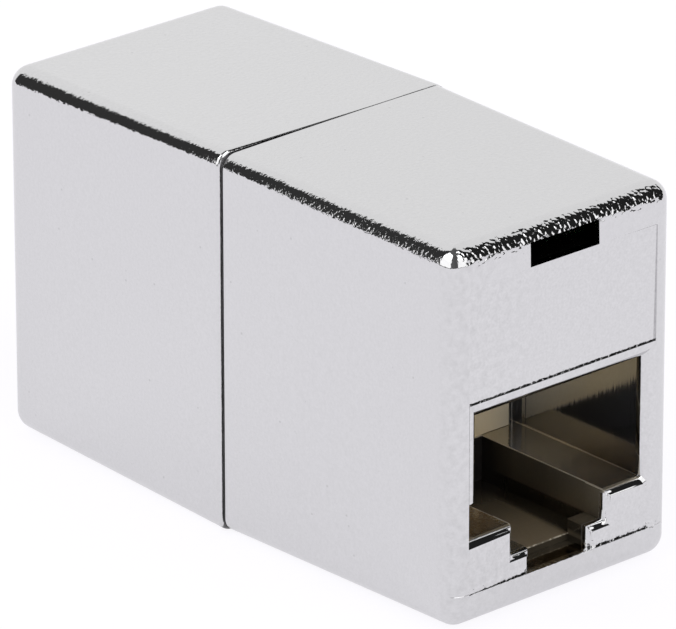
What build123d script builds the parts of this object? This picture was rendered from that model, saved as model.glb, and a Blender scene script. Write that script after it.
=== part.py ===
from build123d import *
import os

# Ethernet inline coupler: two metallised shell halves meet at a seam in mid length. Each half holds
# an eight-contact socket, and a small circuit board joins the two sets of contacts.
# Frame: +Z up, Y along the coupler, origin on the underside at the seam. The near socket faces -Y.
# Sizes are in millimetres. A depth is measured inwards from the flat end of a half.

# Outer shell. Its width follows from the socket that it holds.
seam_height = 22.24
half_length = 18.43
draft_side = 0.21
draft_top = 0.215
draft_bottom = 0.27
seam_corner_radius = 0.88
end_corner_radius = 1.18
end_edge_radius = 1.10
shell_wall = 1.00
shell_front_wall = 1.20
inner_corner_radius = 0.60
overcut = 1.00

# Seam between the halves
rim_step = 0.05
rim_round = 0.16
gap_left = 0.24
gap_right = 0.05
spigot_length = 2.00
spigot_thickness = 0.45
slip_clearance = 0.05

# Window in the flat end of a shell, with the latch notch above it
window_bottom = 2.20
window_height = 17.60
notch_width = 4.94
notch_height = 1.42

# Socket mouth in the jack housing
socket_width = 12.00
socket_height = 6.90
rail_top = 5.21
keyway_width = 6.68
keyway_floor = 2.58
catch_top = 3.44
catch_gap = 4.17
panel_recess = 0.13
ledge_recess = 0.15
bead_width = 0.02
cheek_round = 0.73
lintel_round = 0.96
ledge_round = 0.56
pad_bottom = 7.46
pad_depth = 1.00
pad_thickness = 0.05

# Jack housing behind the mouth
mouth_thickness = 1.81
flange_height = 0.50
housing_wall = 0.90
housing_side_gap = 0.30
floor_bottom = 1.25
back_wall_depth = 10.10
back_wall = 0.80
keyway_relief = 0.06
back_corner_radius = 0.60
ceiling_slot_width = 9.60
ceiling_slot_start = 2.40

# Contact carrier
carrier_back_depth = 14.00
carrier_width = 9.50
shelf_above_ceiling = 0.14
shelf_thickness = 1.05
shelf_front_depth = 3.60
comb_below_tip = 0.75
comb_depth = 2.20

# Spring contacts
contact_count = 8
contact_pitch = 1.02
wire_diameter = 0.46
groove_width = 0.56
wire_below_shelf_top = 0.32
contact_nose_depth = 2.95
contact_bend_radius = 0.48
contact_nose_drop = 0.95
contact_tip_depth = 11.90
contact_tip_drop = 3.63
pin_depth_front = 12.10
pin_depth_rear = 13.20
pin_above_board = 0.70

# Circuit board
board_above_shelf = 0.90
board_thickness = 1.00
board_side_gap = 0.90
board_end_margin = 1.60
pin_hole_diameter = 0.90

# Sizes that follow from the ones above
seam_width = socket_width + 2 * (housing_wall + housing_side_gap + shell_wall)
window_width = socket_width + 2 * cheek_round
socket_ceiling = rail_top + socket_height
back_window_width = socket_width + 2 * (pad_thickness - back_corner_radius)
carrier_face_depth = back_wall_depth + slip_clearance
bead_top = socket_ceiling + lintel_round + bead_width
shelf_bottom = socket_ceiling + shelf_above_ceiling
shelf_top = shelf_bottom + shelf_thickness
wire_run_height = shelf_top - wire_below_shelf_top
contact_tip_height = wire_run_height - contact_tip_drop
comb_bottom = contact_tip_height - comb_below_tip
board_bottom = shelf_top + board_above_shelf
board_width = seam_width - 2 * (shell_wall + board_side_gap)
wall_x = seam_width / 2 - shell_wall
hollow_bottom = shell_wall
hollow_top = seam_height - shell_wall
window_top = window_bottom + window_height
half_window = window_width / 2
half_socket = socket_width / 2
half_keyway = keyway_width / 2
half_catch = catch_gap / 2
end_y = -half_length


def face_plane(y):
    """A plane across the coupler at y, with its own x along +X and its own y along +Z."""
    return Plane(origin=(0, y, 0), x_dir=(1, 0, 0), z_dir=(0, -1, 0))


def block(x0, x1, y0, y1, z0, z1):
    """A rectangular block between two opposite corners."""
    centre = ((x0 + x1) / 2, (y0 + y1) / 2, (z0 + z1) / 2)
    return Pos(*centre) * Box(x1 - x0, y1 - y0, z1 - z0)


def rounded_prism(width, z0, z1, y0, y1, radius):
    """A prism along Y with a rounded rectangular section that is centred on x = 0."""
    section = face_plane(y0) * Pos(0, (z0 + z1) / 2) * RectangleRounded(width, z1 - z0, radius)
    return extrude(section, amount=-(y1 - y0))


def half_body(rim_growth):
    """The drafted outer form of one half: widest at the seam, with rounded edges at its flat end."""
    width = seam_width + 2 * rim_growth
    bottom = rim_step - rim_growth
    top = seam_height + rim_growth
    seam = RectangleRounded(width, top - bottom, seam_corner_radius)
    seam = face_plane(0) * Pos(0, (top + bottom) / 2) * seam
    end_width = seam_width - 2 * draft_side
    end_height = seam_height - draft_top - draft_bottom
    end_middle = (draft_bottom + seam_height - draft_top) / 2
    end = face_plane(end_y) * Pos(0, end_middle) * RectangleRounded(end_width, end_height, end_corner_radius)
    body = loft([seam, end], ruled=True)
    end_face = body.faces().sort_by(Axis.Y)[0]
    return fillet(end_face.edges(), end_edge_radius)


def end_window():
    """The opening in the flat end: a rectangle for the jack housing and a latch notch above it."""
    y0 = end_y - overcut
    y1 = end_y + shell_front_wall
    notch_top = window_top + notch_height
    rectangle = block(-half_window, half_window, y0, y1 + overcut, window_bottom, window_top)
    notch = block(-notch_width / 2, notch_width / 2, y0, y1, window_top - overcut, notch_top)
    return rectangle + notch


def hollow():
    """The room inside one half, from the back of its end wall to the seam."""
    width = seam_width - 2 * shell_wall
    front = end_y + shell_front_wall
    back = spigot_length + overcut
    return rounded_prism(width, hollow_bottom, hollow_top, front, back, inner_corner_radius)


def near_shell():
    """The half with the spigot. Its rim stands off by a gap that closes towards +X, as assembled."""
    body = half_body(-rim_step)
    reach = seam_width
    slope = (gap_left - gap_right) / seam_width
    left_y = -gap_left - slope * (reach - seam_width / 2)
    right_y = -gap_right + slope * (reach - seam_width / 2)
    corners = [(-reach, left_y), (reach, right_y), (reach, overcut), (-reach, overcut)]
    outline = Plane.XY.offset(-overcut) * make_face(Polyline(corners, close=True))
    body = body - extrude(outline, amount=seam_height + 2 * overcut)
    spigot = rounded_prism(
        seam_width - 2 * shell_wall + 2 * spigot_thickness,
        hollow_bottom - spigot_thickness,
        hollow_top + spigot_thickness,
        -overcut,
        spigot_length,
        inner_corner_radius + spigot_thickness / 2,
    )
    return body + spigot - hollow() - end_window()


def far_shell():
    """The half with the socket for the spigot, a little larger at its rim, turned to face +Y."""
    body = half_body(rim_step)
    rim = body.faces().sort_by(Axis.Y)[-1]
    body = fillet(rim.edges(), rim_round)
    socket = rounded_prism(
        seam_width - 2 * shell_wall + 2 * (spigot_thickness + slip_clearance),
        hollow_bottom - spigot_thickness - slip_clearance,
        hollow_top + spigot_thickness + slip_clearance,
        -(spigot_length + slip_clearance),
        overcut,
        inner_corner_radius + spigot_thickness / 2,
    )
    return Rot(0, 0, 180) * (body - hollow() - socket - end_window())


def cheek_flare():
    """The room between the cheeks, widening to the front by a quarter round on each side."""
    r = cheek_round
    outer = half_socket + r
    y0 = end_y
    y1 = end_y + r
    outline = Polyline([(-outer, y0), (-outer, y0 - overcut), (outer, y0 - overcut), (outer, y0)])
    right = CenterArc((outer, y1), r, 180, 90)
    back = Line((half_socket, y1), (-half_socket, y1))
    left = CenterArc((-outer, y1), r, 270, 90)
    section = make_face([outline, right, back, left])
    return extrude(Plane.XY * section, amount=seam_height)


def lintel_flare():
    """The room below the lintel, which curves up to the front by a quarter round."""
    r = lintel_round
    y0 = end_y
    y1 = end_y + r
    bottom = rail_top
    side = Plane(origin=(-half_window, 0, 0), x_dir=(0, 1, 0), z_dir=(1, 0, 0))
    top = socket_ceiling + r
    before = y0 - overcut
    outline = Polyline([(y1, socket_ceiling), (y1, bottom), (before, bottom), (before, top), (y0, top)])
    arc = CenterArc((y1, socket_ceiling + r), r, 180, 90)
    return extrude(side * make_face([outline, arc]), amount=window_width)


def lower_ledges():
    """The lower part of the mouth: two ledges, each with the latch catch as a second step."""
    y0 = end_y + ledge_recess
    y1 = end_y + mouth_thickness
    x2 = half_window - slip_clearance / 2
    z0 = window_bottom + slip_clearance / 2
    right = [(half_catch, z0), (x2, z0), (x2, rail_top), (half_keyway, rail_top)]
    right = right + [(half_keyway, catch_top), (half_catch, catch_top)]
    ledges = []
    for side in (1, -1):
        corners = [(side * x, z) for x, z in right]
        ledge = extrude(face_plane(y0) * make_face(Polyline(corners, close=True)), amount=-(y1 - y0))
        front = ledge.faces().sort_by(Axis.Y)[0]
        upper = front.edges().filter_by(Axis.X).sort_by(Axis.Z)[1:]
        inner = front.edges().filter_by(Axis.Z).sort_by(Axis.X)
        inner = inner[:2] if side == 1 else inner[1:]
        ledges.append(fillet(upper + inner, ledge_round))
    return ledges


def jack_housing():
    """The metallised jack housing: the mouth plate, the socket box behind it, rails and keyway."""
    front = end_y
    back = end_y + back_wall_depth + back_wall
    mouth_back = end_y + mouth_thickness
    plate_x = half_window - slip_clearance / 2
    plate_top = window_top - slip_clearance / 2
    plate_bottom = window_bottom + slip_clearance / 2
    box_x = half_socket + housing_wall
    box_top = socket_ceiling + housing_wall
    flange_x = wall_x - slip_clearance
    flange_front = end_y + shell_front_wall

    upper_panel = block(-plate_x, plate_x, front + panel_recess, mouth_back, bead_top, plate_top)
    surround = block(-plate_x, plate_x, front, mouth_back, rail_top - ledge_round, bead_top)
    mouth = block(-half_socket, half_socket, front - overcut, back - back_wall, rail_top, socket_ceiling)
    surround = surround - (cheek_flare() & lintel_flare())
    flange_top = window_top - flange_height
    flange = rounded_prism(2 * flange_x, floor_bottom, flange_top, flange_front, mouth_back, inner_corner_radius)
    box = block(-box_x, box_x, flange_front, back, floor_bottom, box_top)
    body = upper_panel + surround + flange + box
    body = body - mouth

    # Socket room, a little wider behind the pads at the mouth
    relieved_x = half_socket + pad_thickness
    room = rounded_back_room(relieved_x, end_y + pad_depth, end_y + back_wall_depth)
    below_pads = block(-relieved_x, relieved_x, end_y + cheek_round, end_y + pad_depth, rail_top, pad_bottom)
    body = body - room - below_pads
    cut_x = -half_socket + overcut
    cheek_cut = block(-half_window, cut_x, front - overcut, end_y + pad_depth, rail_top, pad_bottom)
    body = body - cheek_cut

    # Keyway between the rails, and the lower notch of the mouth with its two ledges. The right cheek
    # runs on down in front of its ledge.
    keyway_back = end_y + back_wall_depth
    keyway_x = half_keyway + keyway_relief
    keyway = block(-keyway_x, keyway_x, mouth_back, keyway_back, keyway_floor, rail_top + overcut)
    lower = block(-half_window, half_window, front - overcut, mouth_back, window_bottom, rail_top)
    body = body - keyway - lower
    for ledge in lower_ledges():
        body = body + ledge
    foot = block(half_socket, plate_x, front, mouth_back, plate_bottom, rail_top)
    body = body + (foot - cheek_flare())

    # Window in the back wall for the contact carrier, and the slot for the contacts in the ceiling
    half_back = back_window_width / 2
    window_front = end_y + back_wall_depth - overcut
    above = box_top + overcut
    back_window = block(-half_back, half_back, window_front, back + overcut, rail_top, above)
    ceiling_slot = block(
        -ceiling_slot_width / 2,
        ceiling_slot_width / 2,
        end_y + ceiling_slot_start,
        back + overcut,
        socket_ceiling - overcut,
        above,
    )
    return body - back_window - ceiling_slot


def rounded_back_room(half_width, y0, y1):
    """The socket room between rails and ceiling, with rounded upright corners at its back."""
    room = block(-half_width, half_width, y0, y1, rail_top, socket_ceiling)
    corners = room.edges().filter_by(Axis.Z).sort_by(Axis.Y)[-2:]
    return fillet(corners, back_corner_radius)


def contact_x(index):
    """The place across the socket of one contact, counted from -X."""
    return (index - (contact_count - 1) / 2) * contact_pitch


def pin_depth(index):
    """The solder pins stand in two staggered rows."""
    return pin_depth_front if index % 2 == 0 else pin_depth_rear


def contact_carrier():
    """The insulator: a shelf with a groove for each contact, and a rear block with a comb below."""
    half = carrier_width / 2
    half_block = back_window_width / 2 - slip_clearance / 2
    face = end_y + carrier_face_depth
    back = end_y + carrier_back_depth
    shelf = block(-half, half, end_y + shelf_front_depth, back, shelf_bottom, shelf_top)
    rear = block(-half_block, half_block, face, back, rail_top + slip_clearance / 2, board_bottom)
    body = shelf + rear
    groove_bottom = wire_run_height - wire_diameter / 2
    for index in range(contact_count):
        x0 = contact_x(index) - groove_width / 2
        x1 = contact_x(index) + groove_width / 2
        groove_back = end_y + pin_depth(index) + groove_width / 2
        groove_front = end_y + shelf_front_depth - overcut
        groove = block(x0, x1, groove_front, groove_back, groove_bottom, board_bottom + overcut)
        comb_slot = block(x0, x1, face - overcut, face + comb_depth, comb_bottom, shelf_bottom)
        body = body - groove - comb_slot
    return body


def contact(index):
    """One spring contact: solder pin, run along its groove, nose, and free end sloping to the rear."""
    pin_y = end_y + pin_depth(index)
    nose_y = end_y + contact_nose_depth
    tip_y = end_y + contact_tip_depth
    pin_top = board_bottom + board_thickness + pin_above_board
    side = Plane(origin=(contact_x(index), 0, 0), x_dir=(0, 1, 0), z_dir=(1, 0, 0))
    points = [(pin_y, pin_top), (pin_y, wire_run_height), (nose_y, wire_run_height)]
    points = points + [(nose_y, wire_run_height - contact_nose_drop), (tip_y, contact_tip_height)]
    path = side * FilletPolyline(points, radius=contact_bend_radius)
    start = Plane(origin=(contact_x(index), pin_y, pin_top), z_dir=(0, 0, -1))
    return sweep(start * Circle(wire_diameter / 2), path=path)


def circuit_board():
    """The board above both sockets, with a plain hole for each solder pin."""
    half_y = half_length - pin_depth_front + board_end_margin
    top = board_bottom + board_thickness
    board = block(-board_width / 2, board_width / 2, -half_y, half_y, board_bottom, top)
    for index in range(contact_count):
        x = contact_x(index)
        y = end_y + pin_depth(index)
        hole = Pos(x, y, (board_bottom + top) / 2) * Cylinder(pin_hole_diameter / 2, board_thickness + overcut)
        board = board - hole - Rot(0, 0, 180) * hole
    return board


half_turn = Rot(0, 0, 180)
housing = jack_housing()
carrier = contact_carrier()
parts = {
    "near_shell": near_shell(),
    "far_shell": far_shell(),
    "near_jack_housing": housing,
    "far_jack_housing": half_turn * housing,
    "near_contact_carrier": carrier,
    "far_contact_carrier": half_turn * carrier,
    "circuit_board": circuit_board(),
}
for index in range(contact_count):
    spring = contact(index)
    parts[f"near_contact_{index + 1}"] = spring
    parts[f"far_contact_{index + 1}"] = half_turn * spring

os.makedirs("parts", exist_ok=True)
for name, solid in parts.items():
    solid.label = name
    export_step(solid, f"parts/{name}.step")
    print(name, len(solid.solids()), round(solid.volume, 2))
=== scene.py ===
import math

import bmesh
import bpy
import numpy as np
from mathutils import Matrix, Vector


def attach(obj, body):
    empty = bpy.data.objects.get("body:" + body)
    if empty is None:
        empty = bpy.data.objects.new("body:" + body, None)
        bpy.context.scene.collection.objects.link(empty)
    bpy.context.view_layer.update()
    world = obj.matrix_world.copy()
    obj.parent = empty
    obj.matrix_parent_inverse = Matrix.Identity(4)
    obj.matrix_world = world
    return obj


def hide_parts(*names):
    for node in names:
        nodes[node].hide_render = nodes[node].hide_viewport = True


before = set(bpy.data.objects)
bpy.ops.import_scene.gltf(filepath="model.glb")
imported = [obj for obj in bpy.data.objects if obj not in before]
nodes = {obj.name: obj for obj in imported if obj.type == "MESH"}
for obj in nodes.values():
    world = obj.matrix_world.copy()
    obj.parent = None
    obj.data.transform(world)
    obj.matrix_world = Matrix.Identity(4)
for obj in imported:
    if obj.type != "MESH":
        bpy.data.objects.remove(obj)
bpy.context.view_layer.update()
scene = bpy.context.scene
scene.view_settings.view_transform = "Standard"

# ---------------------------------------------------------------- camera
# A long lens from the left front and above, so that the two long edges of the
# coupler stay almost parallel. Its place comes from a fit to the outline.
azimuth, elevation, roll = (math.radians(angle) for angle in (-41.436, 22.8557, -0.0725))
back = Vector((
    math.sin(azimuth) * math.cos(elevation),
    -math.cos(azimuth) * math.cos(elevation),
    math.sin(elevation),
))
across_view = Vector((math.cos(azimuth), math.sin(azimuth), 0))
upright = back.cross(across_view)
right = across_view * math.cos(roll) + upright * math.sin(roll)
up = upright * math.cos(roll) - across_view * math.sin(roll)
aim = Vector((0, 0, 0.011121))
distance, off_right, off_up = 0.434751, 0.000235, -0.000419
place = aim + right * off_right + up * off_up + back * distance
lens = bpy.data.cameras.new("photo_camera")
lens.lens = 423.76
lens.sensor_width = 36
lens.clip_start = 0.01
lens.clip_end = 20
camera = bpy.data.objects.new("photo_camera", lens)
camera.matrix_world = Matrix((
    (right.x, up.x, back.x, place.x),
    (right.y, up.y, back.y, place.y),
    (right.z, up.z, back.z, place.z),
    (0, 0, 0, 1),
))
scene.collection.objects.link(camera)
scene.camera = camera

# ---------------------------------------------------------------- light tent
# White paper behind, a soft box on each side of the camera, and black gaps
# between them, at the camera and overhead. The plating mirrors all of it.


def feed(tree, socket, value):
    """Link another node's socket to this one, or set this one to a number or colour."""
    if isinstance(value, bpy.types.NodeSocket):
        tree.links.new(value, socket)
    else:
        socket.default_value = value


def worked(tree, operation, *values):
    """One Math node: the operation on up to three numbers or sockets."""
    node = tree.nodes.new("ShaderNodeMath")
    node.operation = operation
    for socket, value in zip(node.inputs, values):
        feed(tree, socket, value)
    return node.outputs[0]


def product(tree, first, *others):
    """All the values multiplied together."""
    for other in others:
        first = worked(tree, "MULTIPLY", first, other)
    return first


def eased(tree, value, start, end, low=0.0, high=1.0):
    """low where the value is at start and high where it is at end, straight between, level beyond."""
    node = tree.nodes.new("ShaderNodeMapRange")
    for socket, given in zip(node.inputs, (value, start, end, low, high)):
        feed(tree, socket, given)
    return node.outputs[0]


def band(tree, value, low, high, soft):
    """1 where the value lies between low and high, falling to 0 over soft at both ends."""
    rise = eased(tree, value, low - soft, low + soft)
    fall = eased(tree, value, high + soft, high - soft)
    return worked(tree, "MULTIPLY", rise, fall)


world = bpy.data.worlds.new("light_tent")
scene.world = world
world.use_nodes = True
tree = world.node_tree
tree.nodes.clear()
split = tree.nodes.new("ShaderNodeSeparateXYZ")
tree.links.new(tree.nodes.new("ShaderNodeTexCoord").outputs["Generated"], split.inputs[0])
toward_camera = worked(
    tree,
    "ADD",
    worked(tree, "MULTIPLY", split.outputs[0], math.sin(azimuth)),
    worked(tree, "MULTIPLY", split.outputs[1], -math.cos(azimuth)),
)
sideways = worked(
    tree,
    "ADD",
    worked(tree, "MULTIPLY", split.outputs[0], math.cos(azimuth)),
    worked(tree, "MULTIPLY", split.outputs[1], math.sin(azimuth)),
)
# The tent is laid out by the turn from the camera, in radians, and the height over the horizon
turn = worked(tree, "ARCTAN2", sideways, toward_camera)
around = worked(tree, "ABSOLUTE", turn)
height = worked(tree, "ARCSINE", split.outputs[2])
edge_soft = math.radians(1.5)
gap_soft = math.radians(2)
no_end = 4.0
paper_edge, overhead_gap, camera_gap = (math.radians(angle) for angle in (119.5, 71, 20))
paper = product(
    tree,
    band(tree, around, paper_edge, no_end, edge_soft),
    band(tree, height, -no_end, overhead_gap, gap_soft),
)
left_box = band(tree, turn, math.radians(-85.5), -camera_gap, edge_soft)
right_box = band(tree, turn, camera_gap, math.radians(74), edge_soft)
boxes = product(
    tree,
    worked(tree, "ADD", left_box, right_box),
    band(tree, height, math.radians(3), math.radians(69), edge_soft),
)
# The boxes are brighter in their upper half
upper_half = band(tree, height, math.radians(38), no_end, math.radians(4))
box_glow = worked(tree, "MULTIPLY_ADD", upper_half, 1.45, 1.40)
gaps = worked(
    tree,
    "MAXIMUM",
    band(tree, around, -no_end, camera_gap, gap_soft),
    band(tree, height, overhead_gap, no_end, gap_soft),
)
left_side = worked(tree, "LESS_THAN", turn, 0.0)
paper_level, gap_level = 0.935, 0.09
dark_right, dark_left_more = 0.019, 0.022
level = worked(tree, "MULTIPLY", boxes, box_glow)
level = worked(tree, "MULTIPLY_ADD", paper, paper_level, level)
level = worked(tree, "MULTIPLY_ADD", gaps, gap_level, level)
level = worked(tree, "ADD", level, worked(tree, "MULTIPLY_ADD", left_side, dark_left_more, dark_right))
# To the camera itself the backdrop is pure white
seen = tree.nodes.new("ShaderNodeLightPath").outputs["Is Camera Ray"]
level = worked(tree, "MULTIPLY_ADD", level, worked(tree, "SUBTRACT", 1.0, seen), seen)
glow = tree.nodes.new("ShaderNodeBackground")
glow.inputs["Color"].default_value = (1, 1, 1, 1)
tree.links.new(level, glow.inputs["Strength"])
sky = tree.nodes.new("ShaderNodeOutputWorld")
tree.links.new(glow.outputs[0], sky.inputs["Surface"])

# ---------------------------------------------------------------- table top
# Plain white paper under the coupler. To the camera it is almost pure white,
# with a little of the coupler's shadow kept, and the plating mirrors it paler.
half_table = 1.5
table_mesh = bpy.data.meshes.new("table_top")
corners = np.array([[-1, -1, 0], [1, -1, 0], [1, 1, 0], [-1, 1, 0]]) * half_table
table_mesh.from_pydata(corners.tolist(), [], [(0, 1, 2, 3)])
table_top = bpy.data.objects.new("table_top", table_mesh)
scene.collection.objects.link(table_top)


def finish(name):
    """A material with nodes, given back with its tree and its Principled shader."""
    material = bpy.data.materials.new(name)
    material.use_nodes = True
    return material, material.node_tree, material.node_tree.nodes["Principled BSDF"]


white_paper, tree, skin = finish("white_paper")
skin.inputs["Base Color"].default_value = (0.95, 0.94, 0.98, 1)
skin.inputs["Roughness"].default_value = 1.0
skin.inputs["Specular IOR Level"].default_value = 0.0
rays = tree.nodes.new("ShaderNodeLightPath")
white_to_camera = worked(tree, "MULTIPLY", rays.outputs["Is Camera Ray"], 0.88)
white_share = worked(tree, "MULTIPLY_ADD", rays.outputs["Is Glossy Ray"], 0.6, white_to_camera)
white = tree.nodes.new("ShaderNodeEmission")
white.inputs["Color"].default_value = (1.0, 0.99, 1.02, 1)
white.inputs["Strength"].default_value = 1.03
paper_mix = tree.nodes.new("ShaderNodeMixShader")
for socket, output in zip(paper_mix.inputs, (white_share, skin.outputs[0], white.outputs[0])):
    tree.links.new(output, socket)
tree.links.new(paper_mix.outputs[0], tree.nodes["Material Output"].inputs["Surface"])
table_mesh.materials.append(white_paper)

# ---------------------------------------------------------------- shell halves
# Two cups moulded in plastic and plated bright all over, each a wall of even
# thickness that widens to the seam. One slips a spigot into the other. The
# moulding has a fine orange peel, which is coarser along the front top edge.

# Lengths are in millimetres in the shapes and in metres in the materials. The seam is at y = 0.
half_length = 18.43
half_width_at_seam, half_width_at_end = 8.20, 7.99
bottom_at_seam, bottom_at_end = 0.05, 0.27
top_at_seam, top_at_end = 22.24, 22.025
corner_at_seam, corner_at_end = 0.88, 1.18
end_round = 1.10
front_wall = 1.20
window = {"half_width": 6.73, "bottom": 2.20, "top": 19.80, "radius": 0.10}
notch_x, notch_top = 2.47, 21.22
# The points of the top side, as x, of which the middle five carry the latch notch
roof_x = np.array([4.6, 3.6, notch_x + 0.02, notch_x, 1.4, 0, -1.4, -notch_x, -notch_x - 0.02, -3.6, -4.6])
arc_steps, side_steps = 13, 8
notch_start = 2 * arc_steps + side_steps - 1 + 3
in_notch = slice(notch_start, notch_start + 5)
spigot_length, spigot_wall_end = 1.90, 2.00
socket_depth = 2.05


def straight(start, end):
    """The points between start and end, evenly spaced along a line, without either of them."""
    t = np.arange(1, side_steps)[:, None] / side_steps
    return start * (1 - t) + end * t


def rounded_ring(half_width, bottom, top, radius, notch_top=None):
    """A rounded rectangle in x and z, anticlockwise from the bottom right corner: four quarter circles,
    centre plus radius times (cos, sin), joined by straight sides. With a notch_top the middle of the
    top side is raised to it between two upright steps."""
    left, right = -half_width + radius, half_width - radius
    low, high = bottom + radius, top - radius
    quarter = np.radians(np.linspace(0, 90, arc_steps))
    arcs = []
    for x, z, start in ((right, low, -90), (right, high, 0), (left, high, 90), (left, low, 180)):
        angle = quarter + math.radians(start)
        arcs.append(np.stack([x + radius * np.cos(angle), z + radius * np.sin(angle)], 1))
    roof = np.stack([roof_x, np.full(len(roof_x), top)], 1)
    if notch_top is not None:
        roof[3:8, 1] = notch_top
        roof[2, 0], roof[8, 0] = notch_x, -notch_x
    return np.concatenate([
        arcs[0],
        straight(arcs[0][-1], arcs[1][0]),
        arcs[1],
        roof,
        arcs[2],
        straight(arcs[2][-1], arcs[3][0]),
        arcs[3],
        straight(arcs[3][-1], arcs[0][0]),
    ])


def outside_at(depth, growth, inset=0.0):
    """The drafted outer section at a depth from the seam: each size goes evenly from its value at the
    rim, grown by growth, to its value at the flat end, and the ring is then moved in by inset."""
    t = depth / half_length
    half_width = (half_width_at_seam + growth) * (1 - t) + half_width_at_end * t
    bottom = (bottom_at_seam - growth) * (1 - t) + bottom_at_end * t
    top = (top_at_seam + growth) * (1 - t) + top_at_end * t
    radius = corner_at_seam * (1 - t) + corner_at_end * t
    return rounded_ring(half_width - inset, bottom + inset, top - inset, radius - inset)


def shell_half(growth, rim_radius, gap_left, gap_right, spigot):
    """Rings from the window's edge over the rounded end, along the outside, round the rim, over the
    spigot or into its socket, and back through the hollow: a grid of ring by place that closes both
    ways. The end and the rim are quarter circles: inset r (1 - cos a) at r sin a along y."""
    rings = []

    def add(ring, y):
        rings.append(np.column_stack([ring[:, 0], np.broadcast_to(y, len(ring)), ring[:, 1]]))

    # The latch notch is cut up into the rounded edge, so its own top lies a little back
    fall = end_round - (top_at_end - notch_top)
    notch_y = -half_length + end_round - math.sqrt(end_round**2 - fall**2)
    for grown, y in ((0.0, 0.05), (0.015, 0.015), (0.05, 0.0)):
        add(rounded_ring(
            window["half_width"] + grown,
            window["bottom"] - grown,
            window["top"] + grown,
            window["radius"] + grown,
            notch_top,
        ), -half_length + y)
        rings[-1][in_notch, 1] = notch_y
    for angle in np.radians(np.linspace(90, 0, 19)):
        depth = half_length - end_round + end_round * math.sin(angle)
        add(outside_at(depth, growth, end_round * (1 - math.cos(angle))), -depth)
        cut = rings[-1][in_notch]
        cut[cut[:, 2] < notch_top, 1:] = notch_y, notch_top
    straight_length = half_length - end_round
    for t in (0.25, 0.5, 0.75):
        add(outside_at(straight_length * (1 - t), growth), -straight_length * (1 - t))
    # The rim is rounded most at the sides, and the gap in front of it closes towards +x
    outer = outside_at(0.1, growth)
    round_here = 0.05 + (rim_radius - 0.05) * np.clip((np.abs(outer[:, 0]) - 6.2) / 1.5, 0, 1)
    rim = -gap_right - (gap_left - gap_right) * ((1 - outer[:, 0] / 8.3) / 2) ** 2.5
    share = (round_here / rim_radius)[:, None]
    for angle in np.radians(np.linspace(0, 90, 7)):
        inner = outside_at(0.1, growth, rim_radius * (1 - math.cos(angle)))
        add(outer * (1 - share) + inner * share, rim - round_here * (1 - math.sin(angle)))
    if spigot:
        tongue = rounded_ring(7.65, 0.55, 21.69, 0.82)
        add(tongue, rim)
        add(tongue, spigot_length)
        add(rounded_ring(7.55, 0.65, 21.59, 0.72), spigot_wall_end)
        inner_end = spigot_wall_end
    else:
        groove = rounded_ring(7.70, 0.50, 21.74, 0.82)
        add(groove, 0.0)
        add(groove, -socket_depth)
        inner_end = -socket_depth
    hollow = rounded_ring(7.20, 1.00, 21.24, 0.60)
    add(hollow, inner_end)
    add(hollow, -half_length + front_wall)
    add(rounded_ring(**window, notch_top=notch_top), -half_length + front_wall)
    return np.array(rings)


sharp_angle = math.radians(28)


def grid_piece(name, rings, material):
    """A mesh from a grid of rings in millimetres that closes both ways, with quads between neighbouring
    points. The faces are turned round where the volume, a sixth of the sum of (b - a) x (c - a) . a
    over their triangles, comes out negative."""
    count, places = rings.shape[:2]
    i, j = np.meshgrid(np.arange(count), np.arange(places), indexing="ij")
    i2, j2 = (i + 1) % count, (j + 1) % places
    quads = np.stack([i * places + j, i * places + j2, i2 * places + j2, i2 * places + j], -1).reshape(-1, 4)
    points = rings.reshape(-1, 3) / 1000
    a, b, c, d = (points[quads[:, k]] for k in range(4))
    volume = (np.cross(b - a, c - a) * a).sum() + (np.cross(c - a, d - a) * a).sum()
    if volume < 0:
        quads = quads[:, ::-1]
    mesh = bpy.data.meshes.new(name)
    mesh.from_pydata(points.tolist(), [], quads.tolist())
    mesh.update()
    mesh.shade_smooth()
    mesh.set_sharp_from_angle(angle=sharp_angle)
    mesh.materials.append(material)
    piece = bpy.data.objects.new(name, mesh)
    scene.collection.objects.link(piece)
    return piece


def keep_flats(piece, weight):
    """Weighted normals, so that the large flats stay flat beside their small rounds."""
    flats = piece.modifiers.new("true_flats", "WEIGHTED_NORMAL")
    flats.weight = weight
    flats.keep_sharp = True


def group_of(name, inputs, outputs):
    """An empty shader node group with named sockets, given as name and kind, and the sockets inside it."""
    group = bpy.data.node_groups.new(name, "ShaderNodeTree")
    for way, sockets in (("INPUT", inputs), ("OUTPUT", outputs)):
        for label, kind in sockets.items():
            group.interface.new_socket(name=label, in_out=way, socket_type=f"NodeSocket{kind}")
    given = group.nodes.new("NodeGroupInput").outputs
    return group, given, group.nodes.new("NodeGroupOutput").inputs


def placed(tree, group, **values):
    """A node group put into a tree, with the values of its inputs. Gives its outputs."""
    node = tree.nodes.new("ShaderNodeGroup")
    node.node_tree = group
    for label, value in values.items():
        feed(tree, node.inputs[label.replace("_", " ")], value)
    return node.outputs


def noise(tree, position, scale, detail):
    """The value of a noise texture."""
    node = tree.nodes.new("ShaderNodeTexNoise")
    for label, value in (("Vector", position), ("Scale", scale), ("Detail", detail)):
        feed(tree, node.inputs[label], value)
    return node.outputs[0]


def colour_mix(tree, factor, first, second, blend="MIX"):
    """The second colour over the first, by factor."""
    node = tree.nodes.new("ShaderNodeMix")
    node.data_type = "RGBA"
    node.blend_type = blend
    for label, value in (("Factor", factor), ("A", first), ("B", second)):
        if isinstance(value, tuple):
            value = (*value, 1)
        feed(tree, node.inputs[label], value)
    return node.outputs["Result"]


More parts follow.
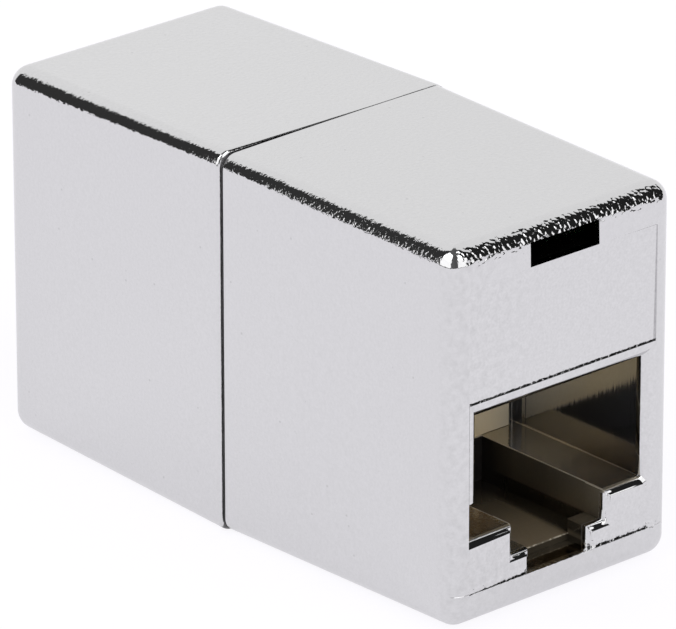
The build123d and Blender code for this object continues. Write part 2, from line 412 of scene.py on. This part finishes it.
def relief(tree, skin, height, depth):
    """A bump of the given depth in metres, fed to the shader's normal."""
    bump = tree.nodes.new("ShaderNodeBump")
    bump.inputs["Strength"].default_value = 1.0
    bump.inputs["Distance"].default_value = depth
    tree.links.new(height, bump.inputs["Height"])
    tree.links.new(bump.outputs[0], skin.inputs["Normal"])


def axes(tree, position):
    """x, y and z of a position."""
    node = tree.nodes.new("ShaderNodeSeparateXYZ")
    tree.links.new(position, node.inputs[0])
    return node.outputs


# Where a point lies, for whichever end of the coupler it is at: Own X is x seen from that end, Across
# the distance from the middle plane and Depth the distance from the seam
whereabouts, given, result = group_of(
    "whereabouts", {"Position": "Vector"}, {"Own X": "Float", "Across": "Float", "Depth": "Float"}
)
tree = whereabouts
x, y, z = axes(tree, given["Position"])
end_sign = worked(tree, "SIGN", worked(tree, "MULTIPLY", y, -1.0))
tree.links.new(worked(tree, "MULTIPLY", x, end_sign), result["Own X"])
tree.links.new(worked(tree, "ABSOLUTE", x), result["Across"])
tree.links.new(worked(tree, "ABSOLUTE", y), result["Depth"])

# The skin of anything moulded: Peel is the height of its orange peel, and Grain a factor close to 1
# that makes the colour uneven by Grain Amount
moulded_skin, given, result = group_of(
    "moulded_skin",
    {"Position": "Vector", "Peel Scale": "Float", "Grain Amount": "Float"},
    {"Peel": "Float", "Grain": "Float"},
)
tree = moulded_skin
tree.links.new(noise(tree, given["Position"], given["Peel Scale"], 2.0), result["Peel"])
fine = noise(tree, given["Position"], 6500, 3.0)
least = worked(tree, "SUBTRACT", 1.0, given["Grain Amount"])
most = worked(tree, "ADD", 1.0, given["Grain Amount"])
tree.links.new(eased(tree, fine, 0.3, 0.7, least, most), result["Grain"])

# Faint smears from handling, as a factor on the colour: full where Handled is 1
finger_marks, given, result = group_of(
    "finger_marks", {"Position": "Vector", "Handled": "Float"}, {"Factor": "Float"}
)
tree = finger_marks
smear = eased(tree, noise(tree, given["Position"], 2400, 4.0), 0.40, 0.70, 0.015, -0.075)
tree.links.new(worked(tree, "MULTIPLY_ADD", given["Handled"], smear, 1.0), result["Factor"])

silver = (0.672, 0.670, 0.678)
shell_plating, tree, skin = finish("plated_shell")
skin.inputs["Roughness"].default_value = 0.06
position = tree.nodes.new("ShaderNodeTexCoord").outputs["Object"]
x, y, z = axes(tree, position)
own_x, across, depth = placed(tree, whereabouts, Position=position)
peel, grain = placed(tree, moulded_skin, Position=position, Peel_Scale=4200, Grain_Amount=0.022)
# The walls of the window are coloured dark brown
in_window = product(
    tree,
    eased(tree, across, 0.00676, 0.00680, 1.0, 0.0),
    eased(tree, z, 0.00215, 0.00218),
    eased(tree, z, 0.0216, 0.0217, 1.0, 0.0),
    eased(tree, depth, 0.01808, 0.01800),
)
tone = colour_mix(tree, in_window, silver, (0.12, 0.10, 0.075))
# Painted shade: the plated spigot in the gap at the seam is painted dark grey and not metallic, for the
# shadow in the gap
gap_shade = product(
    tree,
    eased(tree, depth, 0.00045, 0.00042),
    eased(tree, across, 0.00802, 0.00798),
    eased(tree, z, 0.02200, 0.02196),
)
tree.links.new(worked(tree, "SUBTRACT", 1.0, gap_shade), skin.inputs["Metallic"])
tone = colour_mix(tree, gap_shade, tone, (0.17, 0.168, 0.172))
# Specks of dust under the plating, and smears, most of all left of the socket
dust = tree.nodes.new("ShaderNodeTexVoronoi")
dust.inputs["Scale"].default_value = 700
tree.links.new(position, dust.inputs["Vector"])
specks = eased(tree, dust.outputs["Distance"], 0.030, 0.060, 0.86, 1.0)
handled = product(
    tree,
    eased(tree, own_x, -0.0062, -0.0040, 1.0, 0.3),
    eased(tree, depth, 0.0172, 0.0182, 0.12, 1.0),
)
smears = placed(tree, finger_marks, Position=position, Handled=handled)[0]
tone = colour_mix(tree, 1.0, tone, product(tree, specks, smears, grain), "MULTIPLY")
tree.links.new(tone, skin.inputs["Base Color"])
# Blisters along the end's top edge, more peel along the left top edge, and a calm corner between
at_end = eased(tree, depth, 0.0176, 0.0180)
top_edge = eased(tree, z, 0.0206, 0.0210)
blistered = product(tree, at_end, top_edge, eased(tree, across, 0.0074, 0.0070))
cells = tree.nodes.new("ShaderNodeTexVoronoi")
cells.feature = "SMOOTH_F1"
cells.inputs["Smoothness"].default_value = 0.5
cells.inputs["Scale"].default_value = 3700
cells.inputs["Randomness"].default_value = 0.85
tree.links.new(position, cells.inputs["Vector"])
blister = product(tree, cells.outputs["Distance"], cells.outputs["Distance"])
left_top = eased(tree, x, -0.0066, -0.0071)
near_half = eased(tree, y, -0.0001, -0.0012, 0.25, 1.0)
gain = worked(tree, "MULTIPLY_ADD", product(tree, left_top, top_edge, near_half), 0.7, 0.8)
calm = product(
    tree,
    eased(tree, across, 0.0071, 0.0074, 0.0, 0.75),
    eased(tree, depth, 0.0171, 0.0175),
    top_edge,
)
gain = worked(tree, "MULTIPLY", gain, worked(tree, "SUBTRACT", 1.0, calm))
window_lip = product(
    tree,
    eased(tree, z, 0.00224, 0.00226, 1.0, 0.0),
    eased(tree, z, 0.00210, 0.00212),
    eased(tree, depth, 0.0180, 0.0182),
)
lip_peel = product(tree, noise(tree, position, 4300, 0.0), window_lip)
height = worked(tree, "MULTIPLY_ADD", lip_peel, 1.5, worked(tree, "MULTIPLY", peel, gain))
height = worked(tree, "MULTIPLY_ADD", product(tree, blister, blistered), -2.6, height)
relief(tree, skin, height, 0.00002)

near_rings = shell_half(growth=-0.05, rim_radius=0.06, gap_left=0.26, gap_right=0.008, spigot=True)
near_cup = grid_piece("near_shell_skin", near_rings, shell_plating)
far_rings = shell_half(growth=0.05, rim_radius=0.22, gap_left=0.0, gap_right=0.0, spigot=False)
far_rings *= np.array([-1, -1, 1])
# The step that the far half makes on top at the seam dies away towards +x
x, y, z = np.moveaxis(far_rings, -1, 0)
on_top = np.clip((z - 21.9) / 0.1, 0, 1)
z -= 0.09 * on_top * np.clip((x + 7.0) / 10, 0, 1) * np.clip(1 - y / 17.4, 0, 1)
far_cup = grid_piece("far_shell_skin", far_rings, shell_plating)
for cup, node in ((near_cup, "near_shell"), (far_cup, "far_shell")):
    keep_flats(cup, weight=100)
    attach(cup, "root")
    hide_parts(node)

# ---------------------------------------------------------------- jack housings
# A smooth plated moulding with the plug socket in it: rails for the plug, a
# keyway for its latch, and two catches at the mouth that hold the latch. It
# is pushed into the shell's window from inside, up to its flange.
jack_plating, tree, skin = finish("plated_jack")
position = tree.nodes.new("ShaderNodeTexCoord").outputs["Object"]
x, y, z = axes(tree, position)
own_x, across, depth = placed(tree, whereabouts, Position=position)
peel, grain = placed(tree, moulded_skin, Position=position, Peel_Scale=3600, Grain_Amount=0.04)
# Inside the mouth, and on the ledges from a little further out
on_ledge = product(
    tree,
    eased(tree, z, 0.00522, 0.00524, 1.0, 0.0),
    eased(tree, z, 0.00496, 0.00504),
    eased(tree, depth, 0.01808, 0.01800),
)
inside = worked(tree, "MAXIMUM", eased(tree, depth, 0.01776, 0.01770), on_ledge)
# There the colour goes by height: the plating's own brown tint, with painted shade that darkens it lower
# down:
# nearly black low down, dark on the sides of the rails, brown on top of them and grey on the walls
tint_and_shade_ramp = tree.nodes.new("ShaderNodeValToRGB")
tint_and_shade_stops = (
    (0.0, (0.030, 0.026, 0.020)),
    (0.335, (0.045, 0.038, 0.028)),
    (0.347, (0.15, 0.128, 0.094)),
    (0.519, (0.21, 0.185, 0.14)),
    (0.5205, (0.48, 0.44, 0.36)),
    (0.5225, (0.48, 0.44, 0.36)),
    (0.525, (0.26, 0.26, 0.27)),
    (1.0, (0.52, 0.54, 0.58)),
)
stops = tint_and_shade_ramp.color_ramp.elements
while len(stops) < len(tint_and_shade_stops):
    stops.new(0.5)
for stop, (centimetres, colour) in zip(stops, tint_and_shade_stops):
    stop.position = centimetres
    stop.color = (*colour, 1)
tree.links.new(eased(tree, z, 0.0, 0.010), tint_and_shade_ramp.inputs[0])
# Painted light: the keyway's floor is painted lighter where it reflects the bright mouth, on one side of a
# slanting shade line, fading towards the back
shade_line = worked(tree, "MULTIPLY_ADD", depth, -0.06, 0.00313)
painted_floor_light = product(
    tree,
    eased(tree, depth, 0.0090, 0.0165, 0.25, 1.0),
    eased(tree, worked(tree, "SUBTRACT", own_x, shade_line), -0.0003, 0.0002, 1.0, 0.0),
    eased(tree, z, 0.0027, 0.0029, 0.9, 0.0),
    eased(tree, z, 0.00250, 0.00256, 0.2, 1.0),
)
walls = colour_mix(tree, painted_floor_light, tint_and_shade_ramp.outputs[0], (0.36, 0.30, 0.21))
# Painted shade: nearly black behind the slot up top, and deep in the socket below the rail tops
behind_slot = eased(tree, z, 0.0186, 0.0188)
deep_and_low = product(
    tree,
    eased(tree, depth, 0.0110, 0.0090),
    eased(tree, z, 0.00515, 0.00520, 1.0, 0.0),
)
painted_deep_shade = worked(tree, "MAXIMUM", behind_slot, deep_and_low)
walls = colour_mix(tree, painted_deep_shade, walls, (0.05, 0.045, 0.042))
tone = colour_mix(tree, inside, silver, walls)
# Pale lines: worn plating on a rail's inner edge and a wall's foot, and a painted highlight along the
# keyway's sill
worn_rail = product(
    tree,
    eased(tree, across, 0.00346, 0.00342),
    eased(tree, z, 0.00513, 0.00517),
)
worn_foot = product(
    tree,
    eased(tree, across, 0.00594, 0.00598, 0.0, 0.45),
    eased(tree, z, 0.00527, 0.00524),
)
up_to_rail_top = eased(tree, z, 0.00532, 0.00528)
wear_and_highlight = product(
    tree,
    worked(tree, "MAXIMUM", worn_rail, worn_foot),
    up_to_rail_top,
    eased(tree, z, 0.00505, 0.00509),
    inside,
    0.8,
)
# The painted highlight along the sill is dotted by the peel
sill_highlight = product(
    tree,
    eased(tree, z, 0.00252, 0.00254),
    eased(tree, z, 0.00262, 0.00260),
    eased(tree, depth, 0.01654, 0.01656),
    eased(tree, depth, 0.01668, 0.01666),
    eased(tree, peel, 0.44, 0.56, 0.35, 1.0),
)
wear_and_highlight = worked(tree, "MAXIMUM", wear_and_highlight, sill_highlight)
tone = colour_mix(tree, wear_and_highlight, tone, (0.62, 0.56, 0.46))
# The tops of the rails are painted brighter in the depth, a painted reflection of the cream back panel, and
# darker near the mouth; the cheeks are smeared outside
rail_top_mask = product(tree, up_to_rail_top, eased(tree, z, 0.00519, 0.00520), inside)
rail_top_reflection = eased(tree, depth, 0.0180, 0.0120, -0.50, 0.55)
rail_top_reflection = worked(tree, "MULTIPLY_ADD", rail_top_mask, rail_top_reflection, 1.0)
handled = product(
    tree,
    eased(tree, own_x, -0.0050, -0.0010, 1.0, 0.35),
    worked(tree, "SUBTRACT", 1.0, inside),
)
smears = placed(tree, finger_marks, Position=position, Handled=handled)[0]
tone = colour_mix(tree, 1.0, tone, product(tree, rail_top_reflection, smears, grain), "MULTIPLY")
tree.links.new(tone, skin.inputs["Base Color"])
tree.links.new(worked(tree, "MULTIPLY_ADD", inside, 0.04, 0.05), skin.inputs["Roughness"])
dull = worked(tree, "MAXIMUM", eased(tree, z, 0.00519, 0.00522, 0.5, 0.03), wear_and_highlight)
tree.links.new(worked(tree, "SUBTRACT", 1.0, product(tree, inside, dull)), skin.inputs["Metallic"])
# Upright streaks inside from the mould, and peel on the thin lines of the bead and the lip
drawn = tree.nodes.new("ShaderNodeMapping")
drawn.inputs["Scale"].default_value = (5000, 5000, 350)
tree.links.new(position, drawn.inputs["Vector"])
streaks = product(tree, noise(tree, drawn.outputs[0], 1.0, 2.0), inside, 0.22)
from_bead = worked(tree, "ABSOLUTE", worked(tree, "SUBTRACT", z, 0.01308))
by_bead = eased(tree, from_bead, 0.00012, 0.00022, 1.3, 0.0)
by_lip = product(
    tree,
    eased(tree, z, 0.0024, 0.0026, 2.2, 0.0),
    worked(tree, "SUBTRACT", 1.0, inside),
)
all_over = worked(tree, "MULTIPLY_ADD", inside, -0.06, 0.09)
gain = worked(tree, "ADD", all_over, worked(tree, "MAXIMUM", by_bead, by_lip))
relief(tree, skin, worked(tree, "MULTIPLY_ADD", peel, gain, streaks), 0.000026)

# Sizes of the mouth, in millimetres
ledge_recess = 0.15
ledge_round = 0.56
cheek_round = 0.73
cheek_x = 6.0
rail_top = 5.21
front_plate = -16.6


def corner_fill(inset):
    """A slim three-sided bar in the hollow corner where the round of the right ledge runs under the
    round cheek. At the angle a from the top the ledge lies at depth d = recess + r (1 - sin a) and
    z = top - r (1 - cos a), and the cheek at x = 6 + c - sqrt(c^2 - (c - d)^2). Gives its points and
    faces."""
    angle = np.radians(np.linspace(4, 88, 15))
    d = ledge_recess + ledge_round * (1 - np.sin(angle))
    z = rail_top - ledge_round * (1 - np.cos(angle))
    x = cheek_x + cheek_round - np.sqrt(cheek_round**2 - (cheek_round - d) ** 2)
    on_ledge = np.column_stack([x - inset, -half_length + d, z])
    d2 = np.maximum(d - 0.25 * inset, 0.02)
    x2 = cheek_x + cheek_round - np.sqrt(cheek_round**2 - (cheek_round - d2) ** 2)
    on_cheek = np.column_stack([x2, -half_length + d2, z + 0.6 * inset])
    buried = np.column_stack([x + 0.10, -half_length + d + 0.10, z - 0.10])
    points = np.stack([on_ledge, on_cheek, buried], 1).reshape(-1, 3)
    step = 3 * np.arange(len(angle) - 1)[:, None]
    k = np.arange(3)
    k2 = (k + 1) % 3
    sides = np.stack([step + 3 + k, step + 3 + k2, step + k2, step + k], -1).reshape(-1, 4)
    last = len(points) - 3
    return points, [*sides.tolist(), [0, 1, 2], [last + 2, last + 1, last]]


def read(collection, field, width, kind=np.float64):
    """One field of a mesh's vertices, edges, loops or faces as an array with rows of width."""
    values = np.empty(len(collection) * width, kind)
    collection.foreach_get(field, values)
    return values.reshape(-1, width) if width > 1 else values


def mitred_corners(mesh, facing):
    """Which edges are the mitres where two rounds of a ledge meet: low at the mouth and between the
    cheeks, with their run in x and y alike and some run in z, and an angle acos(n1 . n2) between their
    two faces."""
    points = read(mesh.vertices, "co", 3) * 1000
    a, b = points[read(mesh.edges, "vertices", 2, np.int32).T]
    run = np.abs(b - a)
    length = np.linalg.norm(b - a, axis=1)
    middle = facing * (a[:, 1] + b[:, 1]) / 2
    loop_edge = read(mesh.loops, "edge_index", 1, np.int32)
    loop_face = np.repeat(np.arange(len(mesh.polygons)), read(mesh.polygons, "loop_total", 1, np.int32))
    order = np.argsort(loop_edge, kind="stable")
    faces_at = np.bincount(loop_edge, minlength=len(mesh.edges))
    first = np.concatenate([[0], np.cumsum(faces_at)[:-1]])
    second = np.minimum(first + 1, len(order) - 1)
    normals = read(mesh.polygons, "normal", 3)
    one, two = normals[loop_face[order[first]]], normals[loop_face[order[second]]]
    bend = np.arccos(np.clip((one * two).sum(1), -1, 1))
    return (
        (faces_at == 2)
        & (a[:, 2] < 5.3)
        & (middle > -18.29)
        & (middle < -17.69)
        & (bend > 0.05)
        & (np.abs(run[:, 0] - run[:, 1]) < 0.12 * length)
        & (run[:, 2] > 0.02 * length)
        & (run[:, 0] > 0.3 * length)
        & (np.abs(a[:, 0]) < cheek_x)
    )


for end, facing in (("near", 1), ("far", -1)):
    # The CAD moulding, with its loose triangles merged
    mesh = nodes[f"{end}_jack_housing"].data.copy()
    mesh.name = f"{end}_jack_moulding"
    shape = bmesh.new()
    shape.from_mesh(mesh)
    bmesh.ops.remove_doubles(shape, verts=shape.verts, dist=1e-7)
    shape.to_mesh(mesh)
    turned = np.array([facing, facing, 1])
    points = read(mesh.vertices, "co", 3) * 1000 * turned
    x, y, z = points.T.copy()
    in_plate = y < front_plate
    # The plate fills the window, and its right edge and its lower edge catch a fine line
    beside = in_plate & (np.abs(x) > 6.70)
    points[beside, 0] = np.copysign(6.74, x[beside])
    points[(y < -18.2) & (z > 13.1) & (x > 6.70), 1] -= 0.06
    points[in_plate & (np.abs(z - 2.225) < 0.02), 2] = 2.19
    # The left ledge comes forward to the shell at its outer end
    left_ledge = (y < -17.60) & (x < -2.0) & (z < 5.22)
    points[left_ledge, 1] -= 0.10 * np.minimum((-2.0 - x[left_ledge]) / 4.7, 1.0)
    mesh.vertices.foreach_set("co", (points * turned / 1000).ravel())
    weights = mesh.attributes.new("bevel_weight_edge", "FLOAT", "EDGE")
    weights.data.foreach_set("value", mitred_corners(mesh, facing).astype(np.float32))
    bar = bpy.data.meshes.new("corner_bar")
    bar_points, bar_faces = corner_fill(0.16)
    bar.from_pydata((bar_points * turned / 1000).tolist(), [], bar_faces)
    shape.clear()
    shape.from_mesh(mesh)
    shape.from_mesh(bar)
    shape.to_mesh(mesh)
    shape.free()
    bpy.data.meshes.remove(bar)
    for layer in ("custom_normal", "sharp_face", "sharp_edge"):
        if layer in mesh.attributes:
            mesh.attributes.remove(mesh.attributes[layer])
    mesh.materials.clear()
    mesh.materials.append(jack_plating)
    mesh.shade_smooth()
    mesh.set_sharp_from_angle(angle=sharp_angle)
    moulding = bpy.data.objects.new(mesh.name, mesh)
    scene.collection.objects.link(moulding)
    # Where the two rounds of a ledge meet at its inner end, the corner is a small ball
    balls = moulding.modifiers.new("ball_corners", "BEVEL")
    balls.width = 0.00028
    balls.segments = 4
    balls.limit_method = "WEIGHT"
    easing = moulding.modifiers.new("eased_edges", "BEVEL")
    easing.width = 0.00004
    easing.segments = 2
    easing.limit_method = "ANGLE"
    easing.angle_limit = math.radians(30)
    keep_flats(moulding, weight=50)
    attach(moulding, "root")
    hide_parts(f"{end}_jack_housing")

# ---------------------------------------------------------------- contact carriers
# A comb of cream plastic at the back of each socket, moulded in one piece with
# the block behind it. The wires lie in its slots and the board is pressed in.


def dress(node, material):
    """A CAD node keeps its shape and gets this material."""
    node.data.materials.clear()
    node.data.materials.append(material)


cream, tree, skin = finish("carrier_plastic")
skin.inputs["Roughness"].default_value = 0.42
skin.inputs["Specular IOR Level"].default_value = 0.45
position = tree.nodes.new("ShaderNodeTexCoord").outputs["Object"]
own_x = placed(tree, whereabouts, Position=position)["Own X"]
matt = placed(tree, moulded_skin, Position=position, Peel_Scale=9000, Grain_Amount=0)["Peel"]
# Yellower on one side than on the other, with cloudy flow marks between
clouds = worked(tree, "SUBTRACT", noise(tree, position, 420, 4.0), 0.5)
clouded_x = worked(tree, "MULTIPLY_ADD", clouds, 0.004, own_x)
greyer = eased(tree, clouded_x, 0.0005, 0.0055)
tone = colour_mix(tree, greyer, (0.84, 0.67, 0.40), (0.88, 0.79, 0.60))
tree.links.new(tone, skin.inputs["Base Color"])
relief(tree, skin, matt, 0.000006)
for name in ("near_contact_carrier", "far_contact_carrier"):
    dress(nodes[name], cream)

# ---------------------------------------------------------------- contacts
# Eight spring wires in each socket, drawn bronze with a thin gold plating. The
# drawing leaves fine lines along them, and the plating is redder in its hollows.
gold, tree, skin = finish("contact_gold")
skin.inputs["Metallic"].default_value = 1.0
along_wire = tree.nodes.new("ShaderNodeMapping")
along_wire.inputs["Scale"].default_value = (16000, 900, 900)
tree.links.new(tree.nodes.new("ShaderNodeTexCoord").outputs["Object"], along_wire.inputs["Vector"])
lines = noise(tree, along_wire.outputs[0], 1.0, 2.0)
tone = colour_mix(tree, eased(tree, lines, 0.3, 0.7), (0.78, 0.53, 0.22), (0.86, 0.64, 0.28))
tree.links.new(tone, skin.inputs["Base Color"])
tree.links.new(eased(tree, lines, 0.3, 0.7, 0.24, 0.14), skin.inputs["Roughness"])
relief(tree, skin, lines, 0.000003)
for end in ("near", "far"):
    for index in range(1, 9):
        dress(nodes[f"{end}_contact_{index}"], gold)

# ---------------------------------------------------------------- circuit board
# A glass fibre board between the two carriers, which joins their wires. It has a
# green varnish over the weave of the fibre, and sits on the carriers' shelves.
varnish, tree, skin = finish("board")
skin.inputs["Roughness"].default_value = 0.28
position = tree.nodes.new("ShaderNodeTexCoord").outputs["Object"]
x, y, z = axes(tree, position)
thread_pitch = 0.0005
threads = [
    worked(tree, "SINE", worked(tree, "MULTIPLY", along, 2 * math.pi / thread_pitch)) for along in (x, y)
]
weave = product(tree, *threads)
patches = noise(tree, position, 700, 3.0)
thin_varnish = eased(tree, worked(tree, "MULTIPLY_ADD", weave, 0.12, patches), 0.3, 0.7)
tone = colour_mix(tree, thin_varnish, (0.022, 0.13, 0.045), (0.038, 0.19, 0.075))
tree.links.new(tone, skin.inputs["Base Color"])
relief(tree, skin, weave, 0.000004)
dress(nodes["circuit_board"], varnish)
